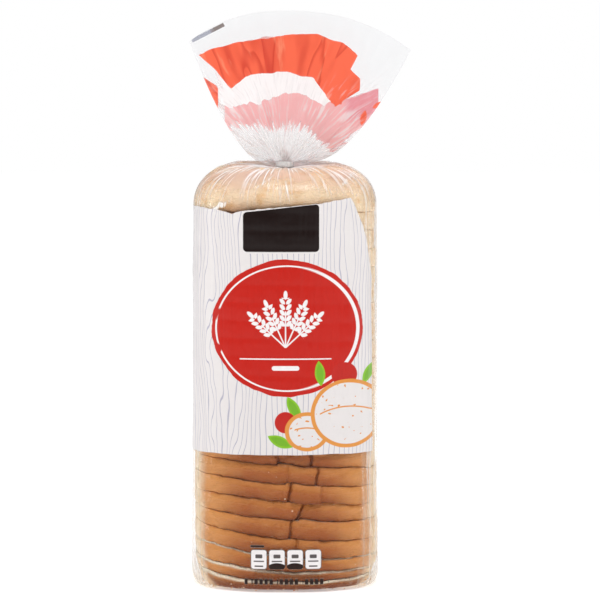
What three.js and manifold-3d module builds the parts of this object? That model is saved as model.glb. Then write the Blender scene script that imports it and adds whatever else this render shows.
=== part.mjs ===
// A sliced sandwich loaf standing on its heel end in a clear, tied bread bag, in millimetres.
// +Z is up, -Y is the side of the domed top crust, and the origin is the middle of the flat base.
// The sealed bag with the loaf inside it is one solid: the loaf block with a step for each slice,
// the shoulder that draws in to the neck, and the open, pleated tail above it.
import * as THREE from "three";
import { mergeVertices } from "three/addons/utils/BufferGeometryUtils.js";
import Module from "manifold-3d";

// Filled bag
const BAG_WIDTH = 122;
const CROWN_DEPTH = 54; // from the middle plane to the domed top crust, at the front
const BASE_DEPTH = 50; // from the middle plane to the flat bottom crust, at the back
const CROWN_POWER = 2.5; // 2 is an ellipse, more is squarer
const BASE_POWER = 5.5;
const SLICE_PITCH = 11.85;
const FOOT_HEIGHT = 11; // height of the rounding at the foot
const FOOT_INSET = 7; // how far the flat base lies inside the widest outline
const FOOT_STEPS = [0, 0.35, 0.7]; // shares of the quarter turn round the foot
const WIDEST_TOP = 251; // where the rounding of the shoulder starts
const SHOULDER_RISE = 29.5;
const SHOULDER_INSET = 40; // how far the top's flat middle lies inside the widest outline
const ROUNDING = 0.85; // 1 rounds foot and shoulder as an ellipse, less is squarer
const SETTLE = 1.3; // how much wider each side is at the foot than at the top

// How the slices lie
const CURL = 5.5; // the lowest slices are lifted this much at their two sides
const CURL_TOP = 110; // height at which the sides aren't lifted any more
const LEAN = 0.11; // the slices lie this much lower for each millimetre to the right
const LEAN_START = 24; // height from which they lean in full

// Relief of the slices through the film
const CLEAR_TOP = 94; // the printed band starts here, and bridges the slices more smoothly
const CLEAR_GROOVE = 1.9;
const PRINTED_GROOVE = 0.7;
const SIDE_GROOVE_SHARE = 0.35; // how deep a groove is at the sides and back, of its full depth
const CLEAR_STEPS = [0, 0.22, 0.8]; // rows over one slice, as shares of its thickness
const PRINTED_STEPS = [0, 0.5];
const CRACK_DEPTH = 3.2; // creases where the soft crown has buckled
const CRACK_HALF_WIDTH = 4.5;
const CRACK_MIDDLE = 5; // the creases wander about this place, to the right of the middle
const CRACK_DRIFT = 7;
const CRACK_TURN = 2.1; // how the place changes from slice to slice, in radians

// Neck and tail
const NECK_RADIUS = 4.7;
const NECK_BOTTOM = 276.5;
const NECK_TOP = 283;
const GATHER_START = 1.3; // angle up the shoulder where the film leaves the loaf, in radians
const GATHER_HURRY = 0.8; // under 1, the film runs inwards first and then turns up
const GATHER_SAG = 1.5;
const TAIL_LEFT = 63.4; // reach of the tail's mouth from the neck
const TAIL_RIGHT = 83.7;
const MOUTH_TOP = 381;
const MOUTH_DROP_LEFT = 20.5; // how much lower the mouth's corners are than its middle
const MOUTH_DROP_RIGHT = 26;
const MOUTH_CURVE = 2.4; // over 2, the mouth's edge is flatter in the middle than a parabola
const FLARE_LEFT = 0.38; // under 1, the tail spreads at once and then turns up, as a tulip does
const FLARE_RIGHT = 0.33;
const TAIL_ROW_SPREAD = 1.6; // over 1, the rows lie closer together near the neck
const BELLY_DEPTH = 13.6; // how far the tail swells beyond the straight line to its mouth
const BELLY_RISE = 0.7; // under 1, the swelling is fullest low down
const MOUTH_DEPTH = 8; // half the mouth's width
const TAIL_PLEAT = 1.9;
const PLEAT_START = 4; // the pleats are full from one part in this many of the tail's height
const GATHER_PLEAT = 1.5;
const NECK_PLEAT = 0.15;
const FILM_WALL = 1.4; // the tail's two walls are thickened from film to this
const WALL_LIFT = 0.6; // share of the wall by which the hollow's rows are raised
const CUP_BOTTOM = 0.16; // share of the tail's height under the open hollow

// Twist tie
const TIE_HEIGHT = 4.6;
const TIE_WALL = 0.9;
const TIE_CLEARANCE = 0.5;
const TIE_END_LENGTH = 15;
const TIE_END_RISE = 6; // the ends climb away from the shoulder
const TIE_END_BEND = 0.6; // under 1, they climb at once and then level out
const TIE_WIRE_RADIUS = 1.1;
const TIE_WIRE_SWING = 0.8; // how far each wire's middle is from the line they wind about
const TIE_ROOT = 0.36; // how deep the ends are rooted in the band
const TIE_TURNS = 2.5;

// Mesh density
const AROUND = 60;
const TAIL_ROWS = 9;
const CUP_ROWS = 6;
const SHOULDER_ROWS = 8;
const GATHER_ROWS = 3;
const TIE_AROUND = 32;
const WIRE_STEPS = 22;
const WIRE_SIDES = 3; // for each half of the wire's round section

const { cos, sin, sign, abs, min, max, PI } = Math;
const mix = THREE.MathUtils.lerp;
const HALF_WIDTH = BAG_WIDTH / 2;
const MIDDLE_HEIGHT = MOUTH_TOP - NECK_TOP;

// A point of the loaf's outline at an angle, with the outline drawn in by inset.
function outline(angle, inset = 0) {
  const front = sin(angle) < 0;
  const power = 2 / (front ? CROWN_POWER : BASE_POWER);
  const depth = (front ? CROWN_DEPTH : BASE_DEPTH) - inset;
  return new THREE.Vector2(
    sign(cos(angle)) * abs(cos(angle)) ** power * (HALF_WIDTH - inset),
    sign(sin(angle)) * abs(sin(angle)) ** power * depth,
  );
}

// Depth of the crease that crosses a slice's crown, at the distance x from the middle.
function crack(slice, x) {
  const middle = CRACK_MIDDLE + CRACK_DRIFT * sin(slice * CRACK_TURN);
  return CRACK_DEPTH * max(0, 1 - abs(x - middle) / CRACK_HALF_WIDTH);
}

// The soft loaf has settled: its foot is a little wider than its top.
function settle(z) {
  return SETTLE * (1 - z / WIDEST_TOP);
}

// How far a slice at height z is raised at the distance x from the middle.
function lift(z, x) {
  const curl = CURL * max(0, 1 - z / CURL_TOP) * (x / HALF_WIDTH) ** 2;
  const lean = LEAN * min(1, z / LEAN_START) * (1 - z / WIDEST_TOP) * x;
  return curl - lean;
}

// Each row is a closed ring: a function from the angle round the bag to a point.
function footRows() {
  return FOOT_STEPS.map((share) => (angle) => {
    const turn = (share * PI) / 2;
    const z = FOOT_HEIGHT * (1 - cos(turn) ** ROUNDING);
    const p = outline(angle, FOOT_INSET * (1 - sin(turn) ** ROUNDING) - settle(z));
    return new THREE.Vector3(p.x, p.y, z);
  });
}

// Rows over one slice: the groove under it, then the swelling of its crust.
function sliceRows(slice) {
  const bottom = slice * SLICE_PITCH;
  const clear = bottom < CLEAR_TOP;
  const groove = clear ? CLEAR_GROOVE : PRINTED_GROOVE;
  return (clear ? CLEAR_STEPS : PRINTED_STEPS).map((share) => (angle) => {
    const z = bottom + share * SLICE_PITCH;
    const onCrown = max(0, -sin(angle));
    const sunk = share === 0 ? groove * mix(SIDE_GROOVE_SHARE, 1, onCrown) : 0;
    const p = outline(angle, sunk - settle(z));
    if (clear && share > 0) p.y += crack(slice, p.x) * onCrown ** 2;
    return new THREE.Vector3(p.x, p.y, z + lift(z, p.x));
  });
}

function loafRows() {
  const first = Math.ceil(FOOT_HEIGHT / SLICE_PITCH);
  const last = Math.floor(WIDEST_TOP / SLICE_PITCH);
  const rows = [];
  for (let slice = first; slice < last; slice++) rows.push(...sliceRows(slice));
  return rows;
}

// The pleats that run in to the neck and out again into the tail.
function pleat(angle) {
  return 0.6 * sin(13 * angle + 0.5) + 0.4 * sin(8 * angle + 1.9);
}

// A ring of the shoulder, at the angle turn up its rounding.
function shoulderRow(turn) {
  return (angle) => {
    const p = outline(angle, SHOULDER_INSET * (1 - cos(turn) ** ROUNDING));
    const slack = 0.5 * GATHER_PLEAT * (turn / GATHER_START) ** 2 * pleat(angle);
    return new THREE.Vector3(p.x, p.y, WIDEST_TOP + SHOULDER_RISE * sin(turn) ** ROUNDING + slack);
  };
}

function shoulderRows() {
  return Array.from({ length: SHOULDER_ROWS }, (_, i) =>
    shoulderRow((GATHER_START * i) / (SHOULDER_ROWS - 1)),
  );
}

function gatherRows() {
  const start = shoulderRow(GATHER_START);
  const level = WIDEST_TOP + SHOULDER_RISE * sin(GATHER_START) ** ROUNDING;
  return Array.from({ length: GATHER_ROWS }, (_, i) => (angle) => {
    const share = (i + 1) / (GATHER_ROWS + 1);
    const from = start(angle);
    const inwards = share ** GATHER_HURRY;
    const slack = GATHER_PLEAT * pleat(angle) * (1 - share);
    return new THREE.Vector3(
      mix(from.x, NECK_RADIUS * cos(angle), inwards),
      mix(from.y, NECK_RADIUS * sin(angle), inwards),
      mix(level, NECK_BOTTOM, share ** GATHER_SAG) + slack,
    );
  });
}

function neckRows() {
  return [NECK_BOTTOM, NECK_TOP].map((z) => (angle) => {
    const r = NECK_RADIUS + NECK_PLEAT * pleat(angle);
    return new THREE.Vector3(r * cos(angle), r * sin(angle), z);
  });
}

// Height of the mouth's edge at x, above the neck.
function mouthHeight(x) {
  const share = x < 0 ? x / TAIL_LEFT : x / TAIL_RIGHT;
  const drop = x < 0 ? MOUTH_DROP_LEFT : MOUTH_DROP_RIGHT;
  return MIDDLE_HEIGHT - drop * abs(share) ** MOUTH_CURVE;
}

// A ring of the tail at the share t of its height. Inside the hollow, wall is its thickness.
function tailRow(t, wall = 0) {
  return (angle) => {
    const c = cos(angle);
    const s = sin(angle);
    const reach = c < 0 ? TAIL_LEFT : TAIL_RIGHT;
    const spread = mix(NECK_RADIUS, reach, t ** (c < 0 ? FLARE_LEFT : FLARE_RIGHT));
    const belly = mix(NECK_RADIUS, MOUTH_DEPTH, t) + BELLY_DEPTH * sin(PI * t ** BELLY_RISE);
    const folds = TAIL_PLEAT * pleat(angle) * min(1, PLEAT_START * t) * abs(s);
    return new THREE.Vector3(
      c * (spread - wall),
      s * (belly - wall) + folds,
      NECK_TOP + mouthHeight(c * reach) * t + (t < 1 ? wall * WALL_LIFT : 0),
    );
  };
}

function tailRows() {
  return Array.from({ length: TAIL_ROWS }, (_, i) =>
    tailRow(((i + 1) / TAIL_ROWS) ** TAIL_ROW_SPREAD),
  );
}

function cupRows() {
  return Array.from({ length: CUP_ROWS }, (_, i) =>
    tailRow(mix(1, CUP_BOTTOM, i / (CUP_ROWS - 1)), FILM_WALL),
  );
}

// Wraps a sphere's grid over the rows, from a pole inside the tail to a pole under the base.
function wrap(rows, topPole, bottomPole) {
  const geometry = new THREE.SphereGeometry(1, AROUND, rows.length + 1);
  const position = geometry.getAttribute("position");
  const grid = AROUND + 1;
  for (let i = 0; i < position.count; i++) {
    const row = Math.floor(i / grid);
    const angle = (((i % grid) % AROUND) / AROUND) * 2 * PI + PI;
    let p = rows[row - 1]?.(angle);
    if (row === 0) p = topPole;
    if (row > rows.length) p = bottomPole;
    position.setXYZ(i, p.x, p.y, p.z);
  }
  geometry.computeVertexNormals();
  return geometry;
}

function bagGeometry() {
  const upwards = [
    ...footRows(),
    ...loafRows(),
    ...shoulderRows(),
    ...gatherRows(),
    ...neckRows(),
    ...tailRows(),
  ];
  const rows = [...cupRows().reverse(), ...upwards.reverse()];
  const cupFloor = NECK_TOP + MIDDLE_HEIGHT * CUP_BOTTOM - FILM_WALL;
  return wrap(rows, new THREE.Vector3(0, 0, cupFloor), new THREE.Vector3(0, 0, 0));
}

const wasm = await Module();
wasm.setup();

function solidOf(geometry) {
  const bare = geometry.clone();
  bare.deleteAttribute("normal");
  bare.deleteAttribute("uv");
  const merged = mergeVertices(bare, 1e-4);
  const mesh = new wasm.Mesh({
    numProp: 3,
    vertProperties: merged.getAttribute("position").array,
    triVerts: new Uint32Array(merged.index.array),
  });
  return new wasm.Manifold(mesh);
}

function geometryOf(solid) {
  const { vertProperties, triVerts } = solid.getMesh();
  const geometry = new THREE.BufferGeometry();
  geometry.setAttribute("position", new THREE.BufferAttribute(vertProperties, 3));
  geometry.setIndex(new THREE.BufferAttribute(triVerts, 1));
  geometry.computeVertexNormals();
  return geometry;
}

// The tie's band round the neck.
function tieBand() {
  const inner = NECK_RADIUS + TIE_CLEARANCE;
  const outer = inner + TIE_WALL;
  const half = TIE_HEIGHT / 2;
  const profile = [
    [inner, -half],
    [outer, -half],
    [outer, half],
    [inner, half],
    [inner, -half],
  ].map(([r, y]) => new THREE.Vector2(r, y));
  return new THREE.LatheGeometry(profile, TIE_AROUND).rotateX(PI / 2);
}

// One of the two ends, wound about the other behind the neck.
function tieEnd(phase) {
  const start = NECK_RADIUS + TIE_CLEARANCE + TIE_ROOT;
  const points = Array.from({ length: WIRE_STEPS + 1 }, (_, i) => {
    const share = i / WIRE_STEPS;
    const turn = phase + share * TIE_TURNS * 2 * PI;
    return new THREE.Vector3(
      TIE_WIRE_SWING * cos(turn),
      start + share * TIE_END_LENGTH,
      TIE_WIRE_SWING * sin(turn) + TIE_END_RISE * share ** TIE_END_BEND,
    );
  });
  const section = new THREE.Shape().absarc(0, 0, TIE_WIRE_RADIUS, 0, 2 * PI);
  return new THREE.ExtrudeGeometry(section, {
    steps: WIRE_STEPS,
    curveSegments: WIRE_SIDES,
    bevelEnabled: false,
    extrudePath: new THREE.CatmullRomCurve3(points),
  });
}

function tieGeometry() {
  const ends = [0, PI].map((phase) => solidOf(tieEnd(phase)));
  return geometryOf(solidOf(tieBand()).add(ends[0]).add(ends[1]));
}

function part(name, geometry, material) {
  const mesh = new THREE.Mesh(geometry, material);
  mesh.name = name;
  return mesh;
}

const film = new THREE.MeshStandardMaterial({ color: 0xe9d9bd, roughness: 0.35, metalness: 0 });
const tieWhite = new THREE.MeshStandardMaterial({ color: 0xf4f4f2, roughness: 0.5, metalness: 0 });

const loafInBag = new THREE.Group();
const tie = part("twist_tie", tieGeometry(), tieWhite);
tie.position.z = (NECK_BOTTOM + NECK_TOP) / 2;
loafInBag.add(part("bag", bagGeometry(), film), tie);

export default loafInBag;
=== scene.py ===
"""Dresses a sliced sandwich loaf that stands in a clear, printed bread bag with a tied neck.

The slices, the crumbs and the tie come from Geometry Nodes. The film is one sheet wrapped round
them, and its print is drawn by its material from simple shapes. Sizes are in metres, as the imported
model's are, and the materials draw in millimetres.
"""

import functools
import math

import bpy
import numpy as np
from bpy.props import FloatProperty, FloatVectorProperty, IntProperty, PointerProperty
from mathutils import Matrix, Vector


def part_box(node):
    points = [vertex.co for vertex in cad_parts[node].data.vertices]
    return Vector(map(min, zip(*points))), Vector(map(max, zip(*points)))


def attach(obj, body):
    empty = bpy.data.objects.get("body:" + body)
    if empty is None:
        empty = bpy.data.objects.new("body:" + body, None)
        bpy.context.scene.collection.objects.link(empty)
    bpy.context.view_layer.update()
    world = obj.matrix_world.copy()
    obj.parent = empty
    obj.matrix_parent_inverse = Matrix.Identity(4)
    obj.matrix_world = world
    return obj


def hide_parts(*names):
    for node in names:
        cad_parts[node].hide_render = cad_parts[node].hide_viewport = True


bl_info = {
    "name": "Loaf in Bread Bag",
    "version": (1, 0, 0),
    "blender": (4, 5, 0),
    "location": "3D View > Sidebar > Bread Bag",
    "description": "Builds a sliced loaf in a clear, printed bag with a tied neck",
    "category": "Add Mesh",
}

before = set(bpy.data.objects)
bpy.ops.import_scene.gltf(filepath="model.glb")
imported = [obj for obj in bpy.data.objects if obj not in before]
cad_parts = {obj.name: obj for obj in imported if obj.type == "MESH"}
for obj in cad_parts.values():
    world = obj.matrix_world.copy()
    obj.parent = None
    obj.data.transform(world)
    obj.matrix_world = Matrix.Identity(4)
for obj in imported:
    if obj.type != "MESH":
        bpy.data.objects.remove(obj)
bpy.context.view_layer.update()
BAG_LOW, BAG_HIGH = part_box("bag")
MM = 0.001
BODY = "root"
PURE_WHITE = (1, 1, 1, 1)


def seen(red, green, blue):
    """A colour as it looks on screen, from 0 to 255, as Blender's linear RGBA."""
    def linear(value):
        share = value / 255
        return share / 12.92 if share <= 0.04045 else ((share + 0.055) / 1.055) ** 2.4

    return (linear(red), linear(green), linear(blue), 1.0)


def length(name, description, default):
    return FloatProperty(
        name=name, description=description, default=default, unit="LENGTH", precision=5
    )


def number(name, description, default, **limits):
    return FloatProperty(name=name, description=description, default=default, **limits)


def count(name, description, default):
    return IntProperty(name=name, description=description, default=default, min=1)


def tint(name, description, red, green, blue):
    return FloatVectorProperty(
        name=name,
        description=description,
        default=seen(red, green, blue),
        subtype="COLOR",
        size=4,
        min=0,
        max=1,
    )


class BagSizes(bpy.types.PropertyGroup):
    """The filled bag's form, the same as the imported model's."""

    half_width: length("Half width", "Half the filled bag's width", 0.061)
    crown_depth: length("Crown depth", "From the middle to the film over the crown", 0.054)
    base_depth: length("Base depth", "From the middle to the film over the flat crust", 0.050)
    crown_power: number("Crown power", "2 is an ellipse, more is squarer", 2.5, min=2)
    base_power: number("Base power", "2 is an ellipse, more is squarer", 5.5, min=2)
    foot_height: length("Foot height", "Height of the rounding at the foot", 0.011)
    foot_inset: length("Foot inset", "How far the flat base lies inside the outline", 0.007)
    widest_top: length("Widest top", "Where the rounding of the shoulder starts", 0.251)
    shoulder_rise: length("Shoulder rise", "Height of the shoulder's rounding", 0.0295)
    shoulder_inset: length("Shoulder inset", "How far the top lies inside the outline", 0.040)
    rounding: number("Rounding", "1 rounds as an ellipse, less is squarer", 0.85)
    settle: length("Settle", "How much wider each side is at the foot", 0.0013)
    neck_radius: length("Neck radius", "Radius of the gathered neck", 0.0047)
    neck_bottom: length("Neck bottom", "Where the film stands up into the neck", 0.2765)
    neck_top: length("Neck top", "Where the tail spreads again", 0.2815)
    gather_start: number("Gather start", "Angle where the film leaves the loaf", 1.3)
    tail_left: length("Tail left", "Reach of the mouth to the left", -BAG_LOW.x)
    tail_right: length("Tail right", "Reach of the mouth to the right", BAG_HIGH.x)
    mouth_top: length("Mouth top", "Height of the mouth's middle", BAG_HIGH.z)
    mouth_drop_left: length("Mouth drop left", "How much lower the left corner is", 0.0205)
    mouth_drop_right: length("Mouth drop right", "How much lower the right corner is", 0.026)
    mouth_curve: number("Mouth curve", "Over 2 is flatter in the middle", 2.4)
    flare_left: number("Flare left", "Under 1 the tail spreads at once", 0.62)
    flare_right: number("Flare right", "Under 1 the tail spreads at once", 0.60)
    belly_depth: length("Belly depth", "How far the tail swells", 0.0136)
    mouth_depth: length("Mouth depth", "Half the mouth's width", 0.008)
    tail_pleat: length("Tail pleat", "Depth of the tail's wide pleats", 0.0019)
    gather_pleat: length("Gather pleat", "Depth of the pleats on the shoulder", 0.0015)
    crease: length("Crease", "Depth of the fine creases at the neck", 0.0012)
    crest_tilt: number("Crest tilt", "How much higher the shoulder is at the back", 0.08)
    splay_left: length("Splay left", "How far the tail lies flat on the shoulder", 0.016)
    splay_right: length("Splay right", "How far the tail lies flat on the shoulder", 0.020)
    points_around: count("Points around", "Points in each ring of the film", 320)


class LoafSizes(bpy.types.PropertyGroup):
    """The slices in the bag."""

    slices: count("Slices", "Number of slices with both heels", 23)
    window_slices: count("Window slices", "Slices that show below the print", 9)
    pitch: length("Slice pitch", "From one cut to the next", 0.01185)
    gap: length("Gap", "Between two slices", 0.00008)
    clearance: length("Clearance", "From the film in to the sides", 0.0014)
    crown_clearance: length("Crown clearance", "From the film in to the crown", 0.0026)
    low_heel: length("Low heel", "Thickness of the two thin slices at the foot", 0.0069)
    top_heel: length("Top heel", "Thickness of the heel at the top", 0.0277)
    edge_round: length("Edge rounding", "How far a slice's edge rounds in", 0.0026)
    waver: length("Waver", "How uneven the cuts are at the crust", 0.0020)
    wander: length("Wander", "How far a slice is shifted at most", 0.0008)
    pucker: length("Pucker", "Depth of the wrinkles in the crown", 0.0016)
    curl: length("Curl", "Lift of the lowest slices at their sides", 0.0055)
    curl_top: length("Curl top", "Height where the sides lie flat again", 0.110)
    lean: number("Lean", "How much lower the slices lie to the right", 0.11)
    lean_start: length("Lean start", "Height from which they lean in full", 0.024)
    crack_width: length("Crack width", "Half the width of a crack", 0.0011)
    crack_depth: length("Crack depth", "Depth of a full crack in the crown", 0.0034)
    crust: tint("Crust", "The crown's brown", 170, 93, 40)
    # also used for the painted highlight on the slices' upper edges
    crust_light_and_highlight: tint("Light crust", "Where the crown is paler", 222, 154, 88)
    # also used for the painted shade at the slices' lower edges, along the cuts and in the wrinkles'
    # valleys
    crust_dark_and_shade: tint("Dark crust", "Where the crown is baked most", 118, 58, 26)
    side: tint("Side crust", "The pale sides and the heel at the top", 247, 221, 184)
    crumb: tint("Crumb", "The cut faces", 245, 230, 204)


class CrumbSizes(bpy.types.PropertyGroup):
    """The loose crumbs in the bag."""

    amount: count("Amount", "Number of crumbs", 420)
    smallest: length("Smallest", "Width of the smallest crumb", 0.0003)
    largest: length("Largest", "Width of the largest crumb", 0.0014)
    top: length("Top", "Height up to which crumbs cling", 0.094)
    foot_share: number("Foot share", "Share of them that lie at the foot", 0.72, min=0, max=1)


class TieSizes(bpy.types.PropertyGroup):
    """The paper-covered wire round the neck."""

    turns: number("Turns", "How often the strip goes round", 1.6)
    strip_height: length("Strip height", "Width of the flat strip", 0.0034)
    strip_thickness: length("Strip thickness", "Thickness of the flat strip", 0.0005)
    loop_height: length("Height of loop", "Height of the strip's middle", 0.2792)
    end_length: length("End length", "How far the twisted ends reach back", 0.015)
    end_rise: length("End rise", "How far the ends climb", 0.006)
    wire_width: length("Wire width", "Width of each twisted end", 0.0019)
    twists: number("Twists", "How often the ends turn about each other", 2.5)


class PrintColours(bpy.types.PropertyGroup):
    """The inks on the film."""

    paper: tint("Paper white", "The printed white band", 227, 222, 221)
    grain: tint("Grain line", "Thin lines like wood grain", 168, 164, 184)
    plate: tint("Plate", "The dark, bare plate", 25, 12, 10)
    # also used for the painted shade in the tail band's folds
    red: tint("Disc red", "The large disc", 193, 34, 24)
    ring: tint("Ring", "The thin ring and the sheaf in the disc", 240, 236, 236)
    toast: tint("Toast", "Border of the pictured slices", 222, 148, 72)
    leaf: tint("Leaf", "The pictured leaves", 135, 190, 45)
    tomato: tint("Tomato", "The pictured small discs", 190, 39, 32)
    dark_ink: tint("Dark ink", "Small bars and outlines", 40, 24, 20)
    orange: tint("Tail band", "The band across the tail", 247, 107, 75)
    pink: tint("Pale band", "The band seen through a second layer", 243, 174, 174)
    mark: tint("Edge mark", "The dark mark at the mouth's edge", 121, 107, 103)


class StageSizes(bpy.types.PropertyGroup):
    """Camera, floor and light."""

    aim_x: length("Aim right", "How far right of the loaf's middle the camera aims", 0.010)
    aim_z: length("Aim height", "Height that the camera aims at", 0.1888)
    distance: length("Distance", "From the camera to the loaf's middle", 2.2)
    view_width: length("View width", "Width of the view at that distance", 0.400)
    elevation: number("Elevation", "Degrees above level", 3.5)
    floor_radius: length("Floor radius", "Radius of the round floor", 12.0)
    floor: tint("Floor", "The pale floor", 245, 245, 245)


# Node trees as arithmetic


def method(operation, swapped=False):
    """A method of Reading that adds a Math node, with its two values swapped where asked."""

    def run(self, *others):
        values = (*others, self) if swapped else (self, *others)
        return calc(self.tree, operation, *values)

    return run


class Reading:
    """What a socket gives, and the tree that it is in. Arithmetic on it adds Math nodes."""

    def __init__(self, tree, socket):
        self.tree = tree
        self.socket = socket

    def __neg__(self):
        return self * -1

    __add__ = method("ADD")
    __radd__ = method("ADD", swapped=True)
    __sub__ = method("SUBTRACT")
    __rsub__ = method("SUBTRACT", swapped=True)
    __mul__ = method("MULTIPLY")
    __rmul__ = method("MULTIPLY", swapped=True)
    __truediv__ = method("DIVIDE")
    __rtruediv__ = method("DIVIDE", swapped=True)
    __pow__ = method("POWER")
    __abs__ = method("ABSOLUTE")
    __lt__ = method("LESS_THAN")
    __gt__ = method("GREATER_THAN")


def feed(tree, socket, value):
    """Links a Reading, a node or a socket to the socket, or sets it to a plain value."""
    if isinstance(value, Reading):
        value = value.socket
    elif isinstance(value, bpy.types.Node):
        value = value.outputs[0]
    if isinstance(value, bpy.types.NodeSocket):
        tree.links.new(value, socket)
    else:
        socket.default_value = value


def add(tree, kind, **inputs):
    """A new node with its inputs given as words, such as Base_Color."""
    node = tree.nodes.new(kind)
    for name, value in inputs.items():
        feed(tree, node.inputs[name.replace("_", " ")], value)
    return node


def calc(tree, operation, *values, clamp=False):
    node = tree.nodes.new("ShaderNodeMath")
    node.operation = operation
    node.use_clamp = clamp
    for socket, value in zip(node.inputs, values):
        feed(tree, socket, value)
    return Reading(tree, node.outputs[0])


def maths(operation):
    """A function that adds a Math node of one kind to the tree of its first value."""
    return lambda first, *others: calc(first.tree, operation, first, *others)


lesser = maths("MINIMUM")
greater = maths("MAXIMUM")
sine = maths("SINE")
cosine = maths("COSINE")
sign_of = maths("SIGN")
rounded = maths("ROUND")
whole_part = maths("FLOOR")
part_after_point = maths("FRACT")


def clamped(a):
    return calc(a.tree, "ADD", a, 0, clamp=True)


def between(low, high, share):
    return low + (high - low) * share


def ramp(a, start, end):
    """0 up to start, 1 from end on, and a smooth step between them."""
    node = add(a.tree, "ShaderNodeMapRange", Value=a, From_Min=start, From_Max=end)
    node.interpolation_type = "SMOOTHSTEP"
    return Reading(a.tree, node.outputs[0])


def fade(a, start, end):
    """1 up to start, 0 from end on, and a smooth step between them."""
    return ramp(-a, -end, -start)


def joined(x, y, z):
    """Three numbers as one vector."""
    tree = next(value.tree for value in (x, y, z) if isinstance(value, Reading))
    return Reading(tree, add(tree, "ShaderNodeCombineXYZ", X=x, Y=y, Z=z).outputs[0])


def parted(tree, vector):
    """A vector as three numbers."""
    node = add(tree, "ShaderNodeSeparateXYZ", Vector=vector)
    return [Reading(tree, socket) for socket in node.outputs]


def noise(place, scale=1, detail=2):
    """Soft noise from 0 to 1 at a place, with spots about 1 / scale across."""
    spot = joined(*place)
    node = add(spot.tree, "ShaderNodeTexNoise", Vector=spot, Scale=scale, Detail=detail)
    return Reading(spot.tree, node.outputs[0])


def curve(a, points, low, high):
    """Straight lines through the points (in, out). Both run from low to high."""
    node = a.tree.nodes.new("ShaderNodeFloatCurve")
    line = node.mapping.curves[0]
    shares = [[(value - low) / (high - low) for value in point] for point in points]
    while len(line.points) < len(shares):
        line.points.new(0.5, 0.5)
    for point, share in zip(line.points, shares):
        point.location = share
        point.handle_type = "VECTOR"
    node.mapping.update()
    feed(a.tree, node.inputs["Value"], (a - low) / (high - low))
    return Reading(a.tree, node.outputs[0]) * (high - low) + low


def cover(under, over, share):
    """The colour over laid on the colour under, by a share from 0 to 1."""
    node = share.tree.nodes.new("ShaderNodeMix")
    node.data_type = "RGBA"
    for place, value in ((0, share), (6, under), (7, over)):
        feed(share.tree, node.inputs[place], value)
    return node.outputs[2]


def layered(paint, *layers):
    """Colours laid on paint in their order, each given with its share."""
    for colour, share in layers:
        paint = cover(paint, colour, share)
    return paint


# Flat shapes, as distances to their edge, below 0 inside

SOFT_EDGE = 0.12  # half the width of a printed shape's soft edge, in millimetres


def box_shape(x, z, middle, half, corner=0):
    across = abs(x - middle[0]) - (half[0] - corner)
    up = abs(z - middle[1]) - (half[1] - corner)
    beyond_x = greater(across, 0)
    beyond_z = greater(up, 0)
    outside = (beyond_x * beyond_x + beyond_z * beyond_z) ** 0.5
    return outside + lesser(greater(across, up), 0) - corner


def oval_shape(x, z, middle, half):
    across = (x - middle[0]) / half[0]
    up = (z - middle[1]) / half[1]
    return ((across * across + up * up) ** 0.5 - 1) * min(half)


def union(*distances):
    """Several shapes as one."""
    return functools.reduce(lesser, distances)


def turned(x, z, pivot, angle):
    """The place x, z in axes turned by an angle about a pivot, and measured from it."""
    c = math.cos(angle)
    s = math.sin(angle)
    across = x - pivot[0]
    up = z - pivot[1]
    return across * c + up * s, up * c - across * s


def filled(distance, soft=SOFT_EDGE):
    """1 inside a shape and 0 outside, with a narrow soft edge."""
    return clamped(0.5 - distance / (2 * soft))


def stroke(distance, width):
    """A line of the given width along a shape's edge."""
    return filled(abs(distance) - width / 2)


# Making pieces


def new_material(name):
    """A material, its empty node tree, and the place on the piece in millimetres."""
    material = bpy.data.materials.new(name)
    material.use_nodes = True
    tree = material.node_tree
    tree.nodes.clear()
    scaled = tree.nodes.new("ShaderNodeVectorMath")
    scaled.operation = "SCALE"
    feed(tree, scaled.inputs[0], tree.nodes.new("ShaderNodeTexCoord").outputs["Object"])
    feed(tree, scaled.inputs["Scale"], 1 / MM)
    return material, tree, parted(tree, scaled)


def principled(tree, **inputs):
    """One Principled surface as the whole material."""
    surface = add(tree, "ShaderNodeBsdfPrincipled", **inputs)
    add(tree, "ShaderNodeOutputMaterial", Surface=surface)


def mixed(tree, share, under, over):
    """Two shaders as one, with a share of the second."""
    node = tree.nodes.new("ShaderNodeMixShader")
    for socket, value in zip(node.inputs, (share, under, over)):
        feed(tree, socket, value)
    return node


def relief(height, strength, distance):
    """The bumps that a height makes, for a shader's normal."""
    return add(height.tree, "ShaderNodeBump", Height=height, Strength=strength, Distance=distance)


def stored(tree, name, output="Fac"):
    """What the mesh holds under a name."""
    node = tree.nodes.new("ShaderNodeAttribute")
    node.attribute_name = name
    return Reading(tree, node.outputs[output])


def labelled(group, *names):
    """Some of a group's sizes under their labels, as the inputs of a tree."""
    return {group.bl_rna.properties[name].name: getattr(group, name) for name in names}


def nodes_tree(name, inputs):
    """A Geometry Nodes tree with named inputs, and a Reading for each of them."""
    tree = bpy.data.node_groups.new(name, "GeometryNodeTree")
    tree.interface.new_socket("Geometry", in_out="OUTPUT", socket_type="NodeSocketGeometry")
    for label, value in inputs.items():
        kind = "NodeSocketInt" if isinstance(value, int) else "NodeSocketFloat"
        socket = tree.interface.new_socket(label, in_out="INPUT", socket_type=kind)
        socket.default_value = value
    entry = tree.nodes.new("NodeGroupInput")
    return tree, {label: Reading(tree, entry.outputs[label]) for label in inputs}


def closing_nodes(tree, geometry, material):
    """Real meshes for the instances and the material, as the tree's result."""
    realized = add(tree, "GeometryNodeRealizeInstances", Geometry=geometry)
    dressed = add(tree, "GeometryNodeSetMaterial", Geometry=realized, Material=material)
    add(tree, "NodeGroupOutput", Geometry=dressed)


def link_piece(name, mesh):
    piece = bpy.data.objects.new(name, mesh)
    bpy.context.scene.collection.objects.link(piece)
    return piece


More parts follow.
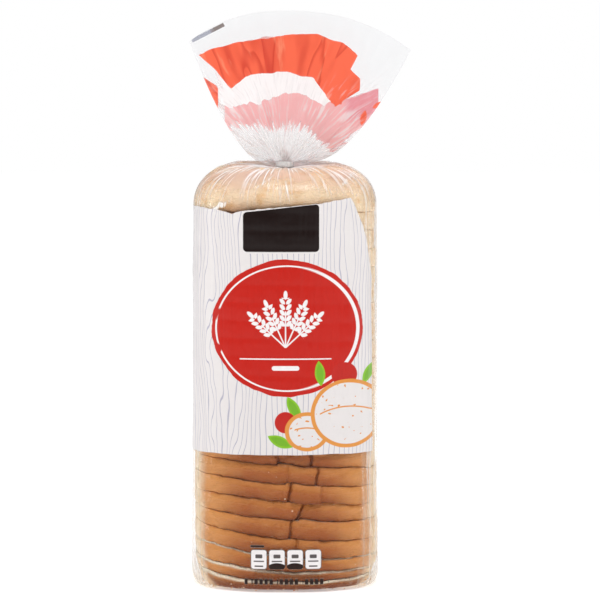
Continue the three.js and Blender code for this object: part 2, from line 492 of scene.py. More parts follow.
def grow(name, tree, values):
    """Runs a tree on an empty object and keeps the result as a plain, smooth mesh."""
    piece = link_piece(name, bpy.data.meshes.new(name))
    modifier = piece.modifiers.new(tree.name, "NODES")
    modifier.node_group = tree
    for item in tree.interface.items_tree:
        if item.in_out == "INPUT" and item.name in values:
            modifier[item.identifier] = values[item.name]
    bpy.context.view_layer.update()
    result = piece.evaluated_get(bpy.context.evaluated_depsgraph_get())
    mesh = bpy.data.meshes.new_from_object(result)
    piece.modifiers.clear()
    piece.data = mesh
    mesh.name = name
    mesh.shade_smooth()
    return piece


def outline_reach(c, s, half, depth, power):
    """How far the bag's outline is from its axis, in the direction with cosine c and sine s."""
    return ((abs(c) / half) ** power + (abs(s) / depth) ** power) ** (-1 / power)


# The slices

TURN = 2 * math.pi
QUARTER = math.pi / 2
RIM_SHARE = 0.8  # share of a slice's rows that lie on its rim
RIM_SQUARE = 0.9  # 1 rounds the rim as an ellipse, less is squarer
FRONT_CROWDING = 0.45  # how much closer the points lie at the front than at the back
FOOT_FILM = 0.0009  # room for the film under the lowest slice
FOOT_INSET = 0.0035  # how far the lowest slice's sides are drawn in
FOOT_INSET_TOP = 0.020  # height where they no longer are
HEEL_ROOM = (0.0015, 0.004)  # how much lower and wider the top heel is than the shoulder
DOME = (0.0040, 0.0022, 0.0014)  # the top heel's rise, the dip in its middle, and how far it sinks
DENTS = 0.0026  # depth of the uneven places on the top heel
HEEL_SPREAD = 0.0008  # how much wider the top heel is than the slice under it
CRACK_SWAY = 0.003  # how far a crack wanders
CRACK_HOLLOW = (0.0055, 0.0011)  # half width and depth of the hollow beside a crack
WELD = 0.00003
CRACKS = (  # slice, place across, slant, share of the full depth, step out to its right
    (3, 0.0080, 0.0, 0.5, 0.0003),
    (4, 0.0040, 0.1, 0.9, 0.0007),
    (5, 0.0102, 0.40, 1.0, -0.0008),
    (6, 0.0033, 0.2, 1.0, 0.0011),
    (6, 0.0237, 0.0, 0.3, -0.0012),
    (7, 0.0022, 0.1, 0.2, 0.0007),
    (7, 0.0213, 0.15, 1.0, -0.0004),
    (8, -0.0046, -0.1, 0.7, -0.0012),
    (8, 0.0178, 0.1, 1.0, 0.0014),
)
CUT_STEPS = (  # cut, place across, step up to its right
    (4, 0.0040, 0.0008),
    (5, 0.0095, 0.0013),
    (6, 0.0237, 0.0010),
    (7, 0.0010, 0.0012),
    (8, -0.0045, 0.0013),
)


def end_inset(height, rise, inset, rounding):
    """How far the outline is drawn in at a height, from 0 to rise, over a rounded end."""
    climbed = clamped(height / rise) ** (1 / rounding)
    return inset * (1 - (1 - climbed * climbed) ** (rounding / 2))


def level_height(index, sizes):
    """Height of the cut under the slice with that number, before it is bent."""
    regular = (index - 1) * sizes["Slice pitch"]
    over_top = clamped(index - (sizes["All slices"] - 1))
    heel = (sizes["Top heel"] - sizes["Slice pitch"]) * over_top
    return greater(regular, lesser(index, 2) * sizes["Low heel"]) + heel


def cut_height(index, x, y, bag, sizes):
    """Height of the cut under the slice with that number, at the place x, y."""
    z = level_height(index, sizes)
    across = x / bag.half_width
    curl = sizes["Curl"] * clamped(1 - z / sizes["Curl top"]) * across * across
    lean = sizes["Lean"] * x * clamped(z / sizes["Lean start"]) * clamped(1 - z / bag.widest_top)
    wide = noise((x * 28, y * 28, index * 3.7), detail=3) - 0.5
    fine = noise((x * 120, y * 120, index * 5.3)) - 0.5
    waver = wide * 2 * sizes["Waver"] + fine * 0.9 * sizes["Waver"]
    for cut, place, step in CUT_STEPS:
        here = (abs(index - cut) < 0.5) * (y < 0)
        beside = x - place
        waver = waver + here * step * (ramp(beside, -0.0005, 0.0005) - ramp(beside, 0.002, 0.02))
    loose = clamped(index) * (1 - clamped(index - (sizes["All slices"] - 1)))
    return z + (curl - lean + waver) * loose


def slices_tree(bag, loaf, material):
    """A stack of slices: one grid for each slice, wrapped into a closed, rounded plate."""
    bends = ("waver", "wander", "pucker", "curl", "curl_top", "lean", "lean_start")
    tree, sizes = nodes_tree(
        "Sliced loaf",
        {
            "First slice": 0,
            "Slice count": loaf.slices,
            "All slices": loaf.slices,
            "Points around": 200,
            "Rows": 16,
            "Seed": 7,
            "Half width": bag.half_width - loaf.clearance,
            "Crown depth": bag.crown_depth - loaf.crown_clearance,
            "Base depth": bag.base_depth - loaf.clearance,
            **labelled(loaf, "pitch", "gap", "low_heel", "top_heel", "edge_round", *bends),
            **labelled(loaf, "crack_width", "crack_depth"),
        },
    )
    columns = sizes["Points around"]
    grid = add(tree, "GeometryNodeMeshGrid", Vertices_X=columns, Vertices_Y=sizes["Rows"])
    lowest = joined(0, 0, sizes["First slice"])
    line = add(tree, "GeometryNodeMeshLine", Count=sizes["Slice count"], Start_Location=lowest)
    line.inputs["Offset"].default_value = (0, 0, 1)
    stack = add(tree, "GeometryNodeInstanceOnPoints", Points=line, Instance=grid)
    geometry = add(tree, "GeometryNodeRealizeInstances", Geometry=stack)

    around, along, index = parted(tree, tree.nodes.new("GeometryNodeInputPosition"))
    around = around + 0.5
    index = rounded(index)
    from_rim = abs(along) * 2
    angle = around * TURN + QUARTER + FRONT_CROWDING * sine(around * TURN)
    c = cosine(angle)
    s = sine(angle)
    front = s < 0

    turn = lesser(greater(along * (2 / RIM_SHARE), -1), 1) * QUARTER
    rise = sign_of(turn) * abs(sine(turn)) ** RIM_SQUARE
    rim_inset = sizes["Edge rounding"] * (1 - abs(cosine(turn)) ** RIM_SQUARE)
    nearest_cut = index + (along > 0)
    uneven = noise((c * 9, s * 9, nearest_cut * 3.1))
    rim_inset = rim_inset * between(-0.4, 2.4, uneven) * (1 - 0.8 * ramp(abs(c), 0.72, 0.88))
    face = clamped((1 - from_rim) / (1 - RIM_SHARE))

    under = level_height(index, sizes)
    over = level_height(index + 1, sizes)
    share_up = rise * 0.5 + 0.5
    middle_height = between(under, over, share_up)
    foot = bag.foot_height - middle_height
    foot_inset = end_inset(foot, bag.foot_height, bag.foot_inset, bag.rounding)
    above = middle_height - bag.widest_top
    heel_rise = bag.shoulder_rise - HEEL_ROOM[0]
    heel_inset = end_inset(above, heel_rise, bag.shoulder_inset - HEEL_ROOM[1], bag.rounding)
    settled = bag.settle * clamped(1 - middle_height / bag.widest_top)
    top_heel = clamped(index - (sizes["All slices"] - 2))
    rim_inset = rim_inset * (1 - top_heel * (turn > 0)) - top_heel * HEEL_SPREAD
    inset = rim_inset + foot_inset + heel_inset - settled

    power = between(bag.base_power, bag.crown_power, front)
    drawn_in = FOOT_INSET * clamped(1 - middle_height / FOOT_INSET_TOP)
    half = sizes["Half width"] - inset - drawn_in
    depth = between(sizes["Base depth"], sizes["Crown depth"], front) - inset
    reach = outline_reach(c, s, half, depth, power) * face

    drawn = tree.nodes.new("FunctionNodeRandomValue")
    drawn.data_type = "FLOAT_VECTOR"
    drawn.inputs[0].default_value = (-1, -1, -1)
    drawn.inputs[1].default_value = (1, 1, 1)
    feed(tree, drawn.inputs["ID"], index)
    feed(tree, drawn.inputs["Seed"], sizes["Seed"])
    shift_x, shift_y, _ = parted(tree, drawn)
    x = reach * c + shift_x * sizes["Wander"]
    y = reach * s + shift_y * sizes["Wander"]

    bottom = cut_height(index, x, y, bag, sizes)
    top = cut_height(index + 1, x, y, bag, sizes)
    film = (index < 0.5) * FOOT_FILM
    z = bottom + sizes["Gap"] + film + (top - bottom - 2 * sizes["Gap"] - film) * share_up

    topmost = top_heel * ramp(along, 0, 0.3)
    domed = ramp(face, 0.15, 0.75) * DOME[0] - ramp(face, 0.85, 1) * DOME[1] - DOME[2]
    dents = (noise((x * 30, y * 30, 2), detail=3) - 0.5) * DENTS
    z = z + topmost * (domed + dents + y * bag.crest_tilt)

    crown = ramp(-(reach * s), 0.012, 0.040) * fade(from_rim, RIM_SHARE - 0.1, RIM_SHARE + 0.04)
    local = (under + over) / 2
    bend = (noise((z * 260, index * 7, 0)) - 0.5) * CRACK_SWAY
    groove = x * 0
    for slice_number, place, slant, share_of_depth, step in CRACKS:
        here = abs(index - slice_number) < 0.5
        beside = x - (place + (z - local) * slant) + bend
        narrow = clamped(1 - abs(beside) / sizes["Crack width"]) ** 0.7
        wide = fade(abs(beside), 0, CRACK_HOLLOW[0])
        cut = share_of_depth * (narrow * sizes["Crack depth"] + wide * CRACK_HOLLOW[1])
        groove = groove + here * (cut - step * ramp(beside, -0.0003, 0.0003))
    wrinkle = noise((x * 45, index * 5.1, z * 130), detail=3) - 0.5
    pucker = noise((x * 210, index * 3.3, z * 330), detail=3) - 0.5
    y = y + (groove + (wrinkle * 2 + pucker * 0.5) * sizes["Pucker"]) * crown

    curled = clamped(2.6 - index) * (along > 0) * 0.5
    rind = ramp(-from_rim, -RIM_SHARE - 0.02 + curled, -RIM_SHARE + 0.06 + curled)
    lowest_face = (index < 0.5) * (along < 0)
    highest_face = (index > (sizes["All slices"] - 1.5)) * (along > 0)
    rind = greater(rind, greater(lowest_face, highest_face))
    store = "GeometryNodeStoreNamedAttribute"
    for name, value in (("rind", rind), ("rise", rise)):
        geometry = add(tree, store, Geometry=geometry, Name=name, Value=value)
    placed = add(tree, "GeometryNodeSetPosition", Geometry=geometry, Position=joined(x, y, z))
    closed = add(tree, "GeometryNodeMergeByDistance", Geometry=placed, Distance=WELD)
    closing_nodes(tree, closed, material)
    return tree


SIDE_MOTTLE = seen(226, 172, 98)


def crust_material(loaf):
    """Brown on the crown, pale at the sides and the top heel, open crumb on the cuts, and painted
    shade and highlight on each slice.
    """
    material, tree, (x, y, z) = new_material("crust and crumb")
    rind = stored(tree, "rind")
    rise = stored(tree, "rise")

    blotch = noise((x, y, z * 2), 0.06, 4)
    fleck = noise((x, y, z * 1.6), 0.55, 3)
    mottle = noise((x, y, z * 1.6), 0.11, 4)
    to_side = ramp(abs(x - 1), 24, 52)
    # painted shade: darker towards each slice's lower edge and along the cuts between slices
    shaded = ramp(-rise + (blotch - 0.5) * 1.2, -0.25, 1) * 0.45
    painted_edge_shade = ramp(-rise + (fleck - 0.5) * 1.1, 0.45, 1) * 0.25 + ramp(rise, 0.8, 1) * 0.05
    slanted = noise((x * 0.05 + z * 0.04, y * 0.05, z * 0.13 - x * 0.03), 1, 3)
    valley = fade(abs(slanted - 0.5), 0, 0.035)
    brown = layered(
        loaf.crust,
        (loaf.crust_light_and_highlight, ramp(blotch, 0.45, 0.8) * 0.5),
        (loaf.crust_light_and_highlight, to_side * 0.95),
        (loaf.crust_dark_and_shade, ramp(fleck, 0.5, 0.85) * 0.4),
        (loaf.crust_dark_and_shade, fade(z, 3, 17) * 0.9),
        # painted shade at the slices' lower edges and cuts, less at the sides
        (loaf.crust_dark_and_shade, clamped(shaded + painted_edge_shade) * (1 - to_side * 0.8)),
        # painted highlight on each slice's upper edge
        (loaf.crust_light_and_highlight, ramp(rise + (fleck - 0.5), 0, 0.7) * 0.4),
        # painted shade in the wrinkles' valleys
        (loaf.crust_dark_and_shade, valley * 0.08),
    )
    crown = ramp(-y + (blotch - 0.5) * 12, 22, 34)
    under = ramp(y + (blotch - 0.5) * 10, 38, 46)
    high_side = ramp(abs(x), 37, 46) * ramp(z, 110, 170)
    baked = greater(crown * (1 - high_side), under * 0.75) * fade(z, 243, 262)
    crust = layered(
        cover(loaf.side, SIDE_MOTTLE, ramp(mottle, 0.46, 0.72) * 0.6),
        (brown, baked),
        (loaf.crust_light_and_highlight, ramp(fleck, 0.5, 0.8) * 0.2),
    )

    cells = add(tree, "ShaderNodeTexVoronoi", Vector=joined(x, y, z), Scale=0.7)
    pores = ramp(Reading(tree, cells.outputs["Distance"]), 0.1, 0.7)
    creased = noise((x * 0.35, y * 0.35, z * 1.3), 0.9, 4)
    skin = noise((x, y, z * 1.5), 1.6, 4) * 0.35 + fleck * 0.7 + creased * 0.9
    height = between(pores, skin + slanted * 3 - valley * 0.15, rind)
    principled(
        tree,
        Base_Color=cover(loaf.crumb, crust, rind),
        Normal=relief(height, 0.7, MM),
        Roughness=between(0.9, 0.55, rind),
        Specular_IOR_Level=0.2,
        Subsurface_Weight=0.06,
        Subsurface_Radius=(1, 0.5, 0.25),
        Subsurface_Scale=0.003,
    )
    return material


# The film


def outline(angle, bag, inset=0):
    """Points of the filled bag's outline at angles about its axis, drawn in by inset."""
    c = np.cos(angle)
    s = np.sin(angle)
    power = np.where(s < 0, bag.crown_power, bag.base_power)
    depth = np.where(s < 0, bag.crown_depth, bag.base_depth) - inset
    reach = outline_reach(c, s, bag.half_width - inset, depth, power)
    return reach * c, reach * s


def pleat(angle):
    """The wide pleats that run in to the neck and out into the tail."""
    return 0.6 * np.sin(13 * angle + 0.5) + 0.4 * np.sin(8 * angle + 1.9)


def ridge(angle):
    """A wave with sharp crests."""
    return 1 - 2 * np.abs(np.sin(angle / 2))


def crowded(angle, t=0):
    """The angle with its creases closer here and there, and drifting with t."""
    return angle + 0.11 * np.sin(3 * angle + 1.3) + 0.05 * np.sin(7 * angle + 0.4 + 5 * t)


def crease(angle):
    """Fine, uneven creases between the pleats."""
    uneven = crowded(angle)
    return 0.5 * ridge(29 * uneven) + 0.3 * ridge(43 * uneven + 1) + 0.2 * ridge(61 * uneven + 2)


TAIL_CREASES = ((17, 0.5, 0.95), (29, 0.6, 0.7), (47, 0.45, 0.5), (71, 0.35, 0.34))


def tail_creases(angle, t):
    """Creases that run out of the neck, the finest of them the shortest."""
    uneven = crowded(angle, t)
    made = 0
    for waves, depth, reach in TAIL_CREASES:
        made = made + depth * ridge(waves * uneven + 0.7 * waves) * max(0, 1 - t / reach) ** 0.9
    return made


def lift(z, x, bag, loaf):
    """How far the slices' curl and lean lift the film's dents at a height."""
    across = (x / bag.half_width) ** 2
    curl = loaf.curl * np.clip(1 - z / loaf.curl_top, 0, 1) * across
    lean = loaf.lean * min(1, z / loaf.lean_start) * (1 - z / bag.widest_top) * x
    return (curl - lean) * min(1, z / loaf.pitch)


GROOVE_IN_WINDOW = 0.0006  # depth of the film's dents at the cuts
GROOVE_UNDER_PRINT = 0.00025
GROOVE_WIDTH = 0.0016
TIGHT_SIDE = (0.9, 0.12)  # cosine of the angle where the film is tight, and its reach there
TAUT_LINES = (0.00022, 41)  # height and number of the upright lines in the tight film
GROOVE_LOST = 0.85  # share of a dent that the tight film takes away
DENT_DEPTH = 0.0003
BLEND = 0.006  # over this height the dents die away at both ends
NECK_FOLDS = (0.00015, 0.0003)  # depth of the pleats and the creases in the neck
SPLAYED_BY = 0.015  # share of the tail's length in which it spreads flat on the shoulder
TAIL_DROOP = (0.0017, 0.014, 0.007)  # depth, place and width of the tail's sag by the neck
NECK_RINGS = 3  # uppermost rings of the neck that have the tail's material


class Film:
    """The rings of the film, from the middle of its base to its mouth.

    Each part takes a share from 0 to 1 of its way up, and filled takes a height.
    """

    def __init__(self, bag, loaf):
        self.bag = bag
        self.loaf = loaf
        self.angle = np.linspace(QUARTER, QUARTER + TURN, bag.points_around, endpoint=False)

    def base(self, share):
        x, y = outline(self.angle, self.bag, self.bag.foot_inset - self.bag.settle)
        crinkle = DENT_DEPTH * (1 - share) * (1 + np.sin(9 * self.angle + 30 * share))
        return x * share, y * share, crinkle

    def foot(self, share):
        bag = self.bag
        turn = share * QUARTER
        z = bag.foot_height * (1 - math.cos(turn) ** bag.rounding)
        inset = bag.foot_inset * (1 - math.sin(turn) ** bag.rounding)
        x, y = outline(self.angle, bag, inset - bag.settle * (1 - z / bag.widest_top))
        return x, y, np.full_like(x, z)

    def filled(self, z):
        bag = self.bag
        from_cut = abs((z / self.loaf.pitch + 0.5) % 1 - 0.5) * self.loaf.pitch
        deepest = GROOVE_IN_WINDOW if z < PRINT_BOTTOM * MM else GROOVE_UNDER_PRINT
        groove = deepest * math.exp(-((from_cut / GROOVE_WIDTH) ** 2))
        tightest, reach = TIGHT_SIDE
        on_side = np.exp(-(((np.abs(np.cos(self.angle)) - tightest) / reach) ** 2))
        high, waves = TAUT_LINES
        taut = high * np.sin(waves * self.angle + 9 * z) * on_side
        dents = DENT_DEPTH * np.sin(5 * self.angle + 70 * z) * np.sin(3 * self.angle - 41 * z + 1)
        settled = bag.settle * (1 - z / bag.widest_top)
        ends = min(1, (z - bag.foot_height) / BLEND, (bag.widest_top - z) / BLEND)
        groove = groove * (1 - GROOVE_LOST * on_side)
        x, y = outline(self.angle, bag, (groove + taut + dents) * ends - settled)
        return x, y, z + lift(z, x, bag, self.loaf) * ends

    def shoulder_level(self, turn):
        bag = self.bag
        rise = bag.shoulder_rise * math.sin(turn) ** bag.rounding
        return bag.widest_top + rise * (1 + bag.crest_tilt * np.sin(self.angle))

    def shoulder(self, share):
        bag = self.bag
        turn = share * bag.gather_start
        x, y = outline(self.angle, bag, bag.shoulder_inset * (1 - math.cos(turn) ** bag.rounding))
        slack = 0.5 * bag.gather_pleat * share**2 * pleat(self.angle)
        slack = slack + bag.crease * share**1.5 * crease(self.angle)
        return x, y, self.shoulder_level(turn) + slack

    def gather(self, share):
        bag = self.bag
        x, y, _ = self.shoulder(1)
        level = self.shoulder_level(bag.gather_start)
        inwards = share**0.8
        swell = between(0.5, 1, min(1, 4 * share))
        slack = bag.gather_pleat * pleat(self.angle) * swell * (1 - share)
        slack = slack + bag.crease * crease(self.angle) * (1 - share) ** 0.7
        return (
            between(x, bag.neck_radius * np.cos(self.angle), inwards),
            between(y, bag.neck_radius * np.sin(self.angle), inwards),
            between(level, bag.neck_bottom, share**1.5) + slack,
        )

    def neck(self, share):
        bag = self.bag
        pleats, creases = NECK_FOLDS
        r = bag.neck_radius + pleats * pleat(self.angle) + creases * crease(self.angle)
        z = between(bag.neck_bottom, bag.neck_top, share)
        return r * np.cos(self.angle), r * np.sin(self.angle), z

    def tail(self, share):
        bag = self.bag
        t = share**1.6
        c = np.cos(self.angle)
        s = np.sin(self.angle)
        left = c < 0
        splay = np.where(left, bag.splay_left, bag.splay_right)
        start = between(bag.neck_radius, splay, min(1, t / SPLAYED_BY) ** 0.6 * np.abs(c) ** 3)
        flare = t ** np.where(left, bag.flare_left, bag.flare_right)
        spread = between(start, np.where(left, bag.tail_left, bag.tail_right), flare)
        swell = bag.belly_depth * math.sin(math.pi * t**0.7)
        belly = between(bag.neck_radius, bag.mouth_depth, t) + swell
        fold = bag.tail_pleat * pleat(self.angle + 0.05 * math.sin(9 * t))
        fold = fold * min(1, 4 * t) * (1 - 0.8 * t)
        fine = bag.crease * tail_creases(self.angle, t) * min(1, 0.27 + 9 * t)
        drop = np.where(left, bag.mouth_drop_left, bag.mouth_drop_right)
        height = bag.mouth_top - bag.neck_top - drop * np.abs(c) ** bag.mouth_curve
        deep, place, wide = TAIL_DROOP
        droop = deep * np.exp(-(((np.abs(c * spread) - place) / wide) ** 2)) * max(0, 1 - t / 0.08)
        return (
            c * spread,
            s * belly + (fold + fine) * np.abs(s),
            bag.neck_top + height * t + 0.5 * fine * (1 - np.abs(s)) - droop,
        )

    def rings(self):
        """Every ring as an array of points, with the number of rings below the tail."""
        parts = (  # what makes the rings, where it starts and ends, and in how many steps
            (self.base, 0, 1, 7),
            (self.foot, 0, 1, 8),
            (self.filled, self.bag.foot_height, self.bag.widest_top, 151),
            (self.shoulder, 0, 1, 28),
            (self.gather, 0, 1, 22),
            (self.neck, 0, 1, 5),
            (self.tail, 0, 1, 71),
        )
        made = []
        for part, start, end, steps in parts:
            below = len(made)
            made += [part(place) for place in np.linspace(start, end, steps + 1)[1:]]
        rings = [np.stack(np.broadcast_arrays(*ring), axis=1) for ring in made]
        return np.array(rings), below


def film_mesh(bag, loaf, body_material, tail_material):
    """The film as one sheet, with its arc and path lengths as UVs and its folds as an attribute."""
    film = Film(bag, loaf)
    rings, below_tail = film.rings()
    rows, around, _ = rings.shape
    points = np.concatenate([[[0, 0, 0]], rings.reshape(-1, 3)])

    row, column = np.meshgrid(np.arange(rows - 1), np.arange(around), indexing="ij")
    after = (column + 1) % around
    low = 1 + row * around
    high = low + around
    quads = np.stack([low + column, low + after, high + after, high + column], axis=-1)
    quads = quads.reshape(-1, 4)
    first = np.arange(around)
    fan = np.stack([np.zeros(around, int), 1 + (first + 1) % around, 1 + first], axis=1)
    mesh = bpy.data.meshes.new("bag_film")
    mesh.from_pydata(points.tolist(), [], quads.tolist() + fan.tolist())

    wide_x, wide_y = outline(np.append(film.angle, film.angle[0] + TURN), bag)
    arc = np.concatenate([[0], np.cumsum(np.hypot(np.diff(wide_x), np.diff(wide_y)))])
    arc -= arc[-1] / 2
    front = around // 2
    rise = np.linalg.norm(np.diff(rings[:, front], axis=0), axis=1)
    path = np.concatenate([[0], np.cumsum(rise)])
    row = row.ravel()
    column = column.ravel()
    corners = ((0, 0), (0, 1), (1, 1), (1, 0))  # a quad's corners, as steps up and round
    quad_uv = [np.stack([arc[column + dc], path[row + dr]], axis=1) for dr, dc in corners]
    fan_arcs = ((arc[:-1] + arc[1:]) / 2, arc[1:], arc[:-1])
    fan_uv = [np.stack([place, np.zeros(around)], axis=1) for place in fan_arcs]
    uv = np.concatenate([np.stack(part, axis=1).reshape(-1, 2) for part in (quad_uv, fan_uv)])
    layer = mesh.uv_layers.new(name="wrap")
    layer.data.foreach_set("uv", uv.astype(np.float32).ravel())

    folds = np.zeros((len(points), 3), np.float32)
    folds[1:, 0] = np.tile(np.cos(film.angle), rows)
    folds[1:, 1] = np.tile(np.sin(film.angle), rows)
    folds[1:, 2] = np.repeat(path, around)
    kept = mesh.attributes.new("fold", "FLOAT_VECTOR", "POINT")
    kept.data.foreach_set("vector", folds.ravel())

    mesh.materials.append(body_material)
    mesh.materials.append(tail_material)
    index = np.zeros(len(quads) + len(fan), np.int32)
    index[: len(quads)] = row >= below_tail - NECK_RINGS
    mesh.polygons.foreach_set("material_index", index)
    mesh.shade_smooth()
    return mesh


# The print, in millimetres: across from the middle, and up from the base. A shape is given by its
# middle and half its size.
PRINT_BOTTOM = 90.8
PRINT_LEFT = -104  # along the film from the front's middle
BACK_PANEL = 128  # the back's print starts this far along the film, on both sides
BACK_TOP = 246
TOP_EDGE = (
    (-90, 252), (-58, 252.3), (-44, 250.5), (-34, 248), (-28, 250), (22, 254.5), (44, 258.5),
    (70, 262),
)
RIGHT_EDGE = ((90, 68), (206, 68), (226, 62), (240, 57), (249, 51), (262, 44), (290, 36))
PLATE = ((-2.3, 237.5), (24.8, 14.2))
PLATE_MARGIN = 1.1
DISC = ((1.7, 173.6), (49.6, 44.6))
RING = ((1.5, 173.4), (46.4, 40.7))
BARS_IN_DISC = (((0.6, 153.5), (30, 0.4)), ((0.6, 147.5), (9, 1.5)))
SHEAF_FOOT = (0.6, 161)
EAR_PITCH = 3.6
LEAVES = (  # middle, size, lean
    ((-3, 99.5), 15, 1.15),
    ((6, 121), 15, 0.5),
    ((23, 144), 14, 0.1),
    ((55, 143), 13, -0.5),
)
SMALL_DISCS = (((0.5, 112), (7, 7)), ((39, 143), (8.5, 8)))
ROLLS = (((14.5, 106), (14.5, 12.8)), ((41.5, 117.5), (24.5, 22.5)))
BACK_FRAME = ((0, 168), (33, 46))
BACK_RULES = (126, 8)  # where the rules on the back start, and how far apart they are
TAB_FIRST = -16.9
TAB_PITCH = 11.85
TAB_MIDDLE = 22.3
TAB_HALF = (5.35, 6.5)
TAB_FOOT = (-7.2, (7.4, 4.9))  # a tab's marks: how far over its middle, and half size
TAB_MARKS = ((2, (2.3, 1.25), 0.6), (-1.2, (3.4, 0.42), 0.3), (-4.4, (2.8, 0.42), 0.3))
HEADING = ((-17.9, 30.9), (4.5, 0.8))
LINE_OF_BARS = ((1.2, 7.6), (27.5, 1.9))
# The sheens are painted glints on the front of the film.
PAINTED_SHEENS = (  # middle, half size and lean of the broad glints on the shoulder
    ((-27, 276.4), (22, 1.3), 0.14),
    ((-42, 252.8), (7.5, 1.5), 0.5),
    ((41, 270), (6.5, 1.1), 0.75),
    ((49, 262), (4, 0.9), 1),
    ((-3.4, 265), (0.8, 8), 0.05),
    ((1.6, 263), (0.7, 6), 0.2),
    ((-14, 268), (8, 0.8), 0.6),
)
NECK_PLACE = (-1, 277)
BAND_TOP = (
    (-70, 344), (-57, 351.6), (-47, 356), (-32, 360), (-8, 364), (9, 365.6), (22, 365.6),
    (32, 361), (39, 359), (48, 351), (51, 343), (70, 330),
)
BAND_RIGHT = (
    (300, 36), (321, 38), (328, 49.6), (336, 50), (342, 43), (352, 48), (357, 45), (380, 40),
)
BAND_BOTTOM = (
    (-70, 352), (-57, 351.4), (-46, 342), (-36, 329), (-29, 334.5), (-25, 338), (-2, 341),
    (19, 336), (33, 317), (44, 322), (51, 330), (70, 330),
)
PALE_TOP = (
    (-70, 322), (-38, 317.5), (-18, 319.7), (-1, 325.7), (9, 326.4), (24, 319.5), (38, 322),
    (60, 329), (90, 333),
)
PALE_BOTTOM = (
    (-70, 312), (-39, 306.5), (-18, 305), (-7, 304), (14, 305), (24, 294), (32, 288), (50, 303),
    (62, 314), (90, 335),
)
BAND_PATCH = ((-51.5, 322), (7.2, 12.5))
BAND_ENDS = (((62, 318.5), 7.5, -1.1), ((52, 310), 9, -0.25))  # middle, size, lean
MARK = (-51, 366.4)
MARK_HALF = (12, 1.35)
MARK_LEAN = 0.462

WHITE = (0.97, 0.97, 0.97, 1)
FOLD_GREY = (0.8, 0.8, 0.81, 1)
LIT_ORANGE = (0.98, 0.35, 0.2, 1)
LEAF_SHADE = seen(96, 160, 40)
SIDE_VEIL = seen(232, 220, 204)
SHOULDER_VEIL = seen(244, 212, 198)
DEEP_PINK = seen(230, 138, 148)
MARK_LIGHT = seen(160, 163, 176)
CLEAR_BODY = (0.975, 0.975, 0.98, 1)
CLEAR_TAIL = (0.965, 0.965, 0.97, 1)
GLOSS_STRAIGHT_ON = 0.012  # share of the clear film that reflects, seen straight on
GLOSS_AT_GLANCE = 0.45  # and how much more of it does at a glance


def wheat_ear(x, z, foot, length_up, lean):
    """A plain ear: a stem with pairs of pointed grains, drawn once and repeated upwards."""
    across, up = turned(x, z, foot, lean)
    stem = box_shape(across, up, (0, length_up * 0.36), (0.45, length_up * 0.36), 0.4)
    start = length_up * 0.42
    cell = part_after_point((up - start) / EAR_PITCH) * EAR_PITCH
    side, rise = turned(abs(across), cell, (2.1, EAR_PITCH * 0.5), -0.62)
    grain = oval_shape(side, rise, (0, 0), (1.25, 2.5))
    in_ear = greater(start - up, up - (length_up - 0.5))
    tip = oval_shape(across, up, (0, length_up + 1.2), (1.3, 2.9))
    return union(stem, greater(grain, in_ear), tip)


def leaf_shape(x, z, middle, length_out, lean):
    across, up = turned(x, z, middle, lean)
    bend = length_out * 0.85
    left = oval_shape(across, up, (-bend * 0.72, 0), (bend, bend))
    right = oval_shape(across, up, (bend * 0.72, 0), (bend, bend))
    return greater(left, right)


def wood_grain(arc, z):
    """Thin, wavering upright lines, wider apart and looping at the left, as in a plank."""
    knot = fade(abs(arc + 46), 6, 34)
    knot = greater(knot, fade(abs(arc - 44), 4, 26) * ramp(z, 165, 215) * 0.8)
    drift = noise((arc / 26, z / 95, 0)) - 0.5
    tight = noise((arc / 11, z / 38, 4), detail=1) - 0.5
    level = arc / 3.4 + drift * between(3, 11, knot) + tight * between(0.6, 2.4, knot)
    return fade(abs(part_after_point(level) - 0.5), 0.03, 0.09) * 0.85


def print_on_front(x, z, colours, paint):
    """The shapes on the front of the white band, laid on the colour paint."""
    wobble = (noise((x, z, 0), 0.09, 3) - 0.5) * 2.6
    slanted = z - (x - PLATE[0][0]) * 0.11 * ramp(z, 228, 250)
    plate = box_shape(x, slanted, *PLATE, 2.6)
    ring_edge = oval_shape(x, z, *RING)
    gaps = ramp(noise((x, z, 9), 0.075, 1) + ramp(x, -50, -18) * 0.6, 0.46, 0.52)
    ring = greater(stroke(ring_edge, 1) * gaps, stroke(ring_edge, 2) * ramp(x, 8, 30))
    from_stem = abs(x - SHEAF_FOOT[0])
    leaning = [wheat_ear(from_stem, z, (0, SHEAF_FOOT[1]), 30, lean) for lean in (-0.42, -0.82)]
    marks = filled(union(wheat_ear(x, z, SHEAF_FOOT, 33, 0), *leaning))
    for middle, half in BARS_IN_DISC:
        marks = greater(marks, filled(box_shape(x, z, middle, half, half[1])))
    leaves = union(*[leaf_shape(x, z, *leaf) for leaf in LEAVES])
    leaf_paint = cover(colours.leaf, LEAF_SHADE, filled(leaves + 1.2) * 0.5)
    paint = layered(
        paint,
        (colours.paper, filled(plate - PLATE_MARGIN)),
        (colours.plate, filled(plate)),
        (colours.red, filled(oval_shape(x, z, *DISC) + wobble)),
        (colours.ring, ring),
        (colours.ring, marks),
        (leaf_paint, filled(leaves + wobble * 0.3)),
        *[(colours.tomato, filled(oval_shape(x, z, *disc))) for disc in SMALL_DISCS],
    )
    specks = ramp(noise((x, z, 3), 0.42, 0), 0.74, 0.77)
    for middle, half in ROLLS:
        roll = oval_shape(x, z, middle, half) + wobble * 0.3
        inside = filled(roll + 2.4)
        score_middle = (middle[0], middle[1] - half[1] * 1.3)
        score = abs(oval_shape(x, z, score_middle, (half[0] * 1.5, half[1] * 1.5)))
        paint = layered(
            paint,
            (colours.toast, filled(roll)),
            (colours.paper, inside),
            (colours.toast, inside * specks),
            (colours.toast, filled(score - 0.45) * filled(roll + 5.5)),
        )
    return paint


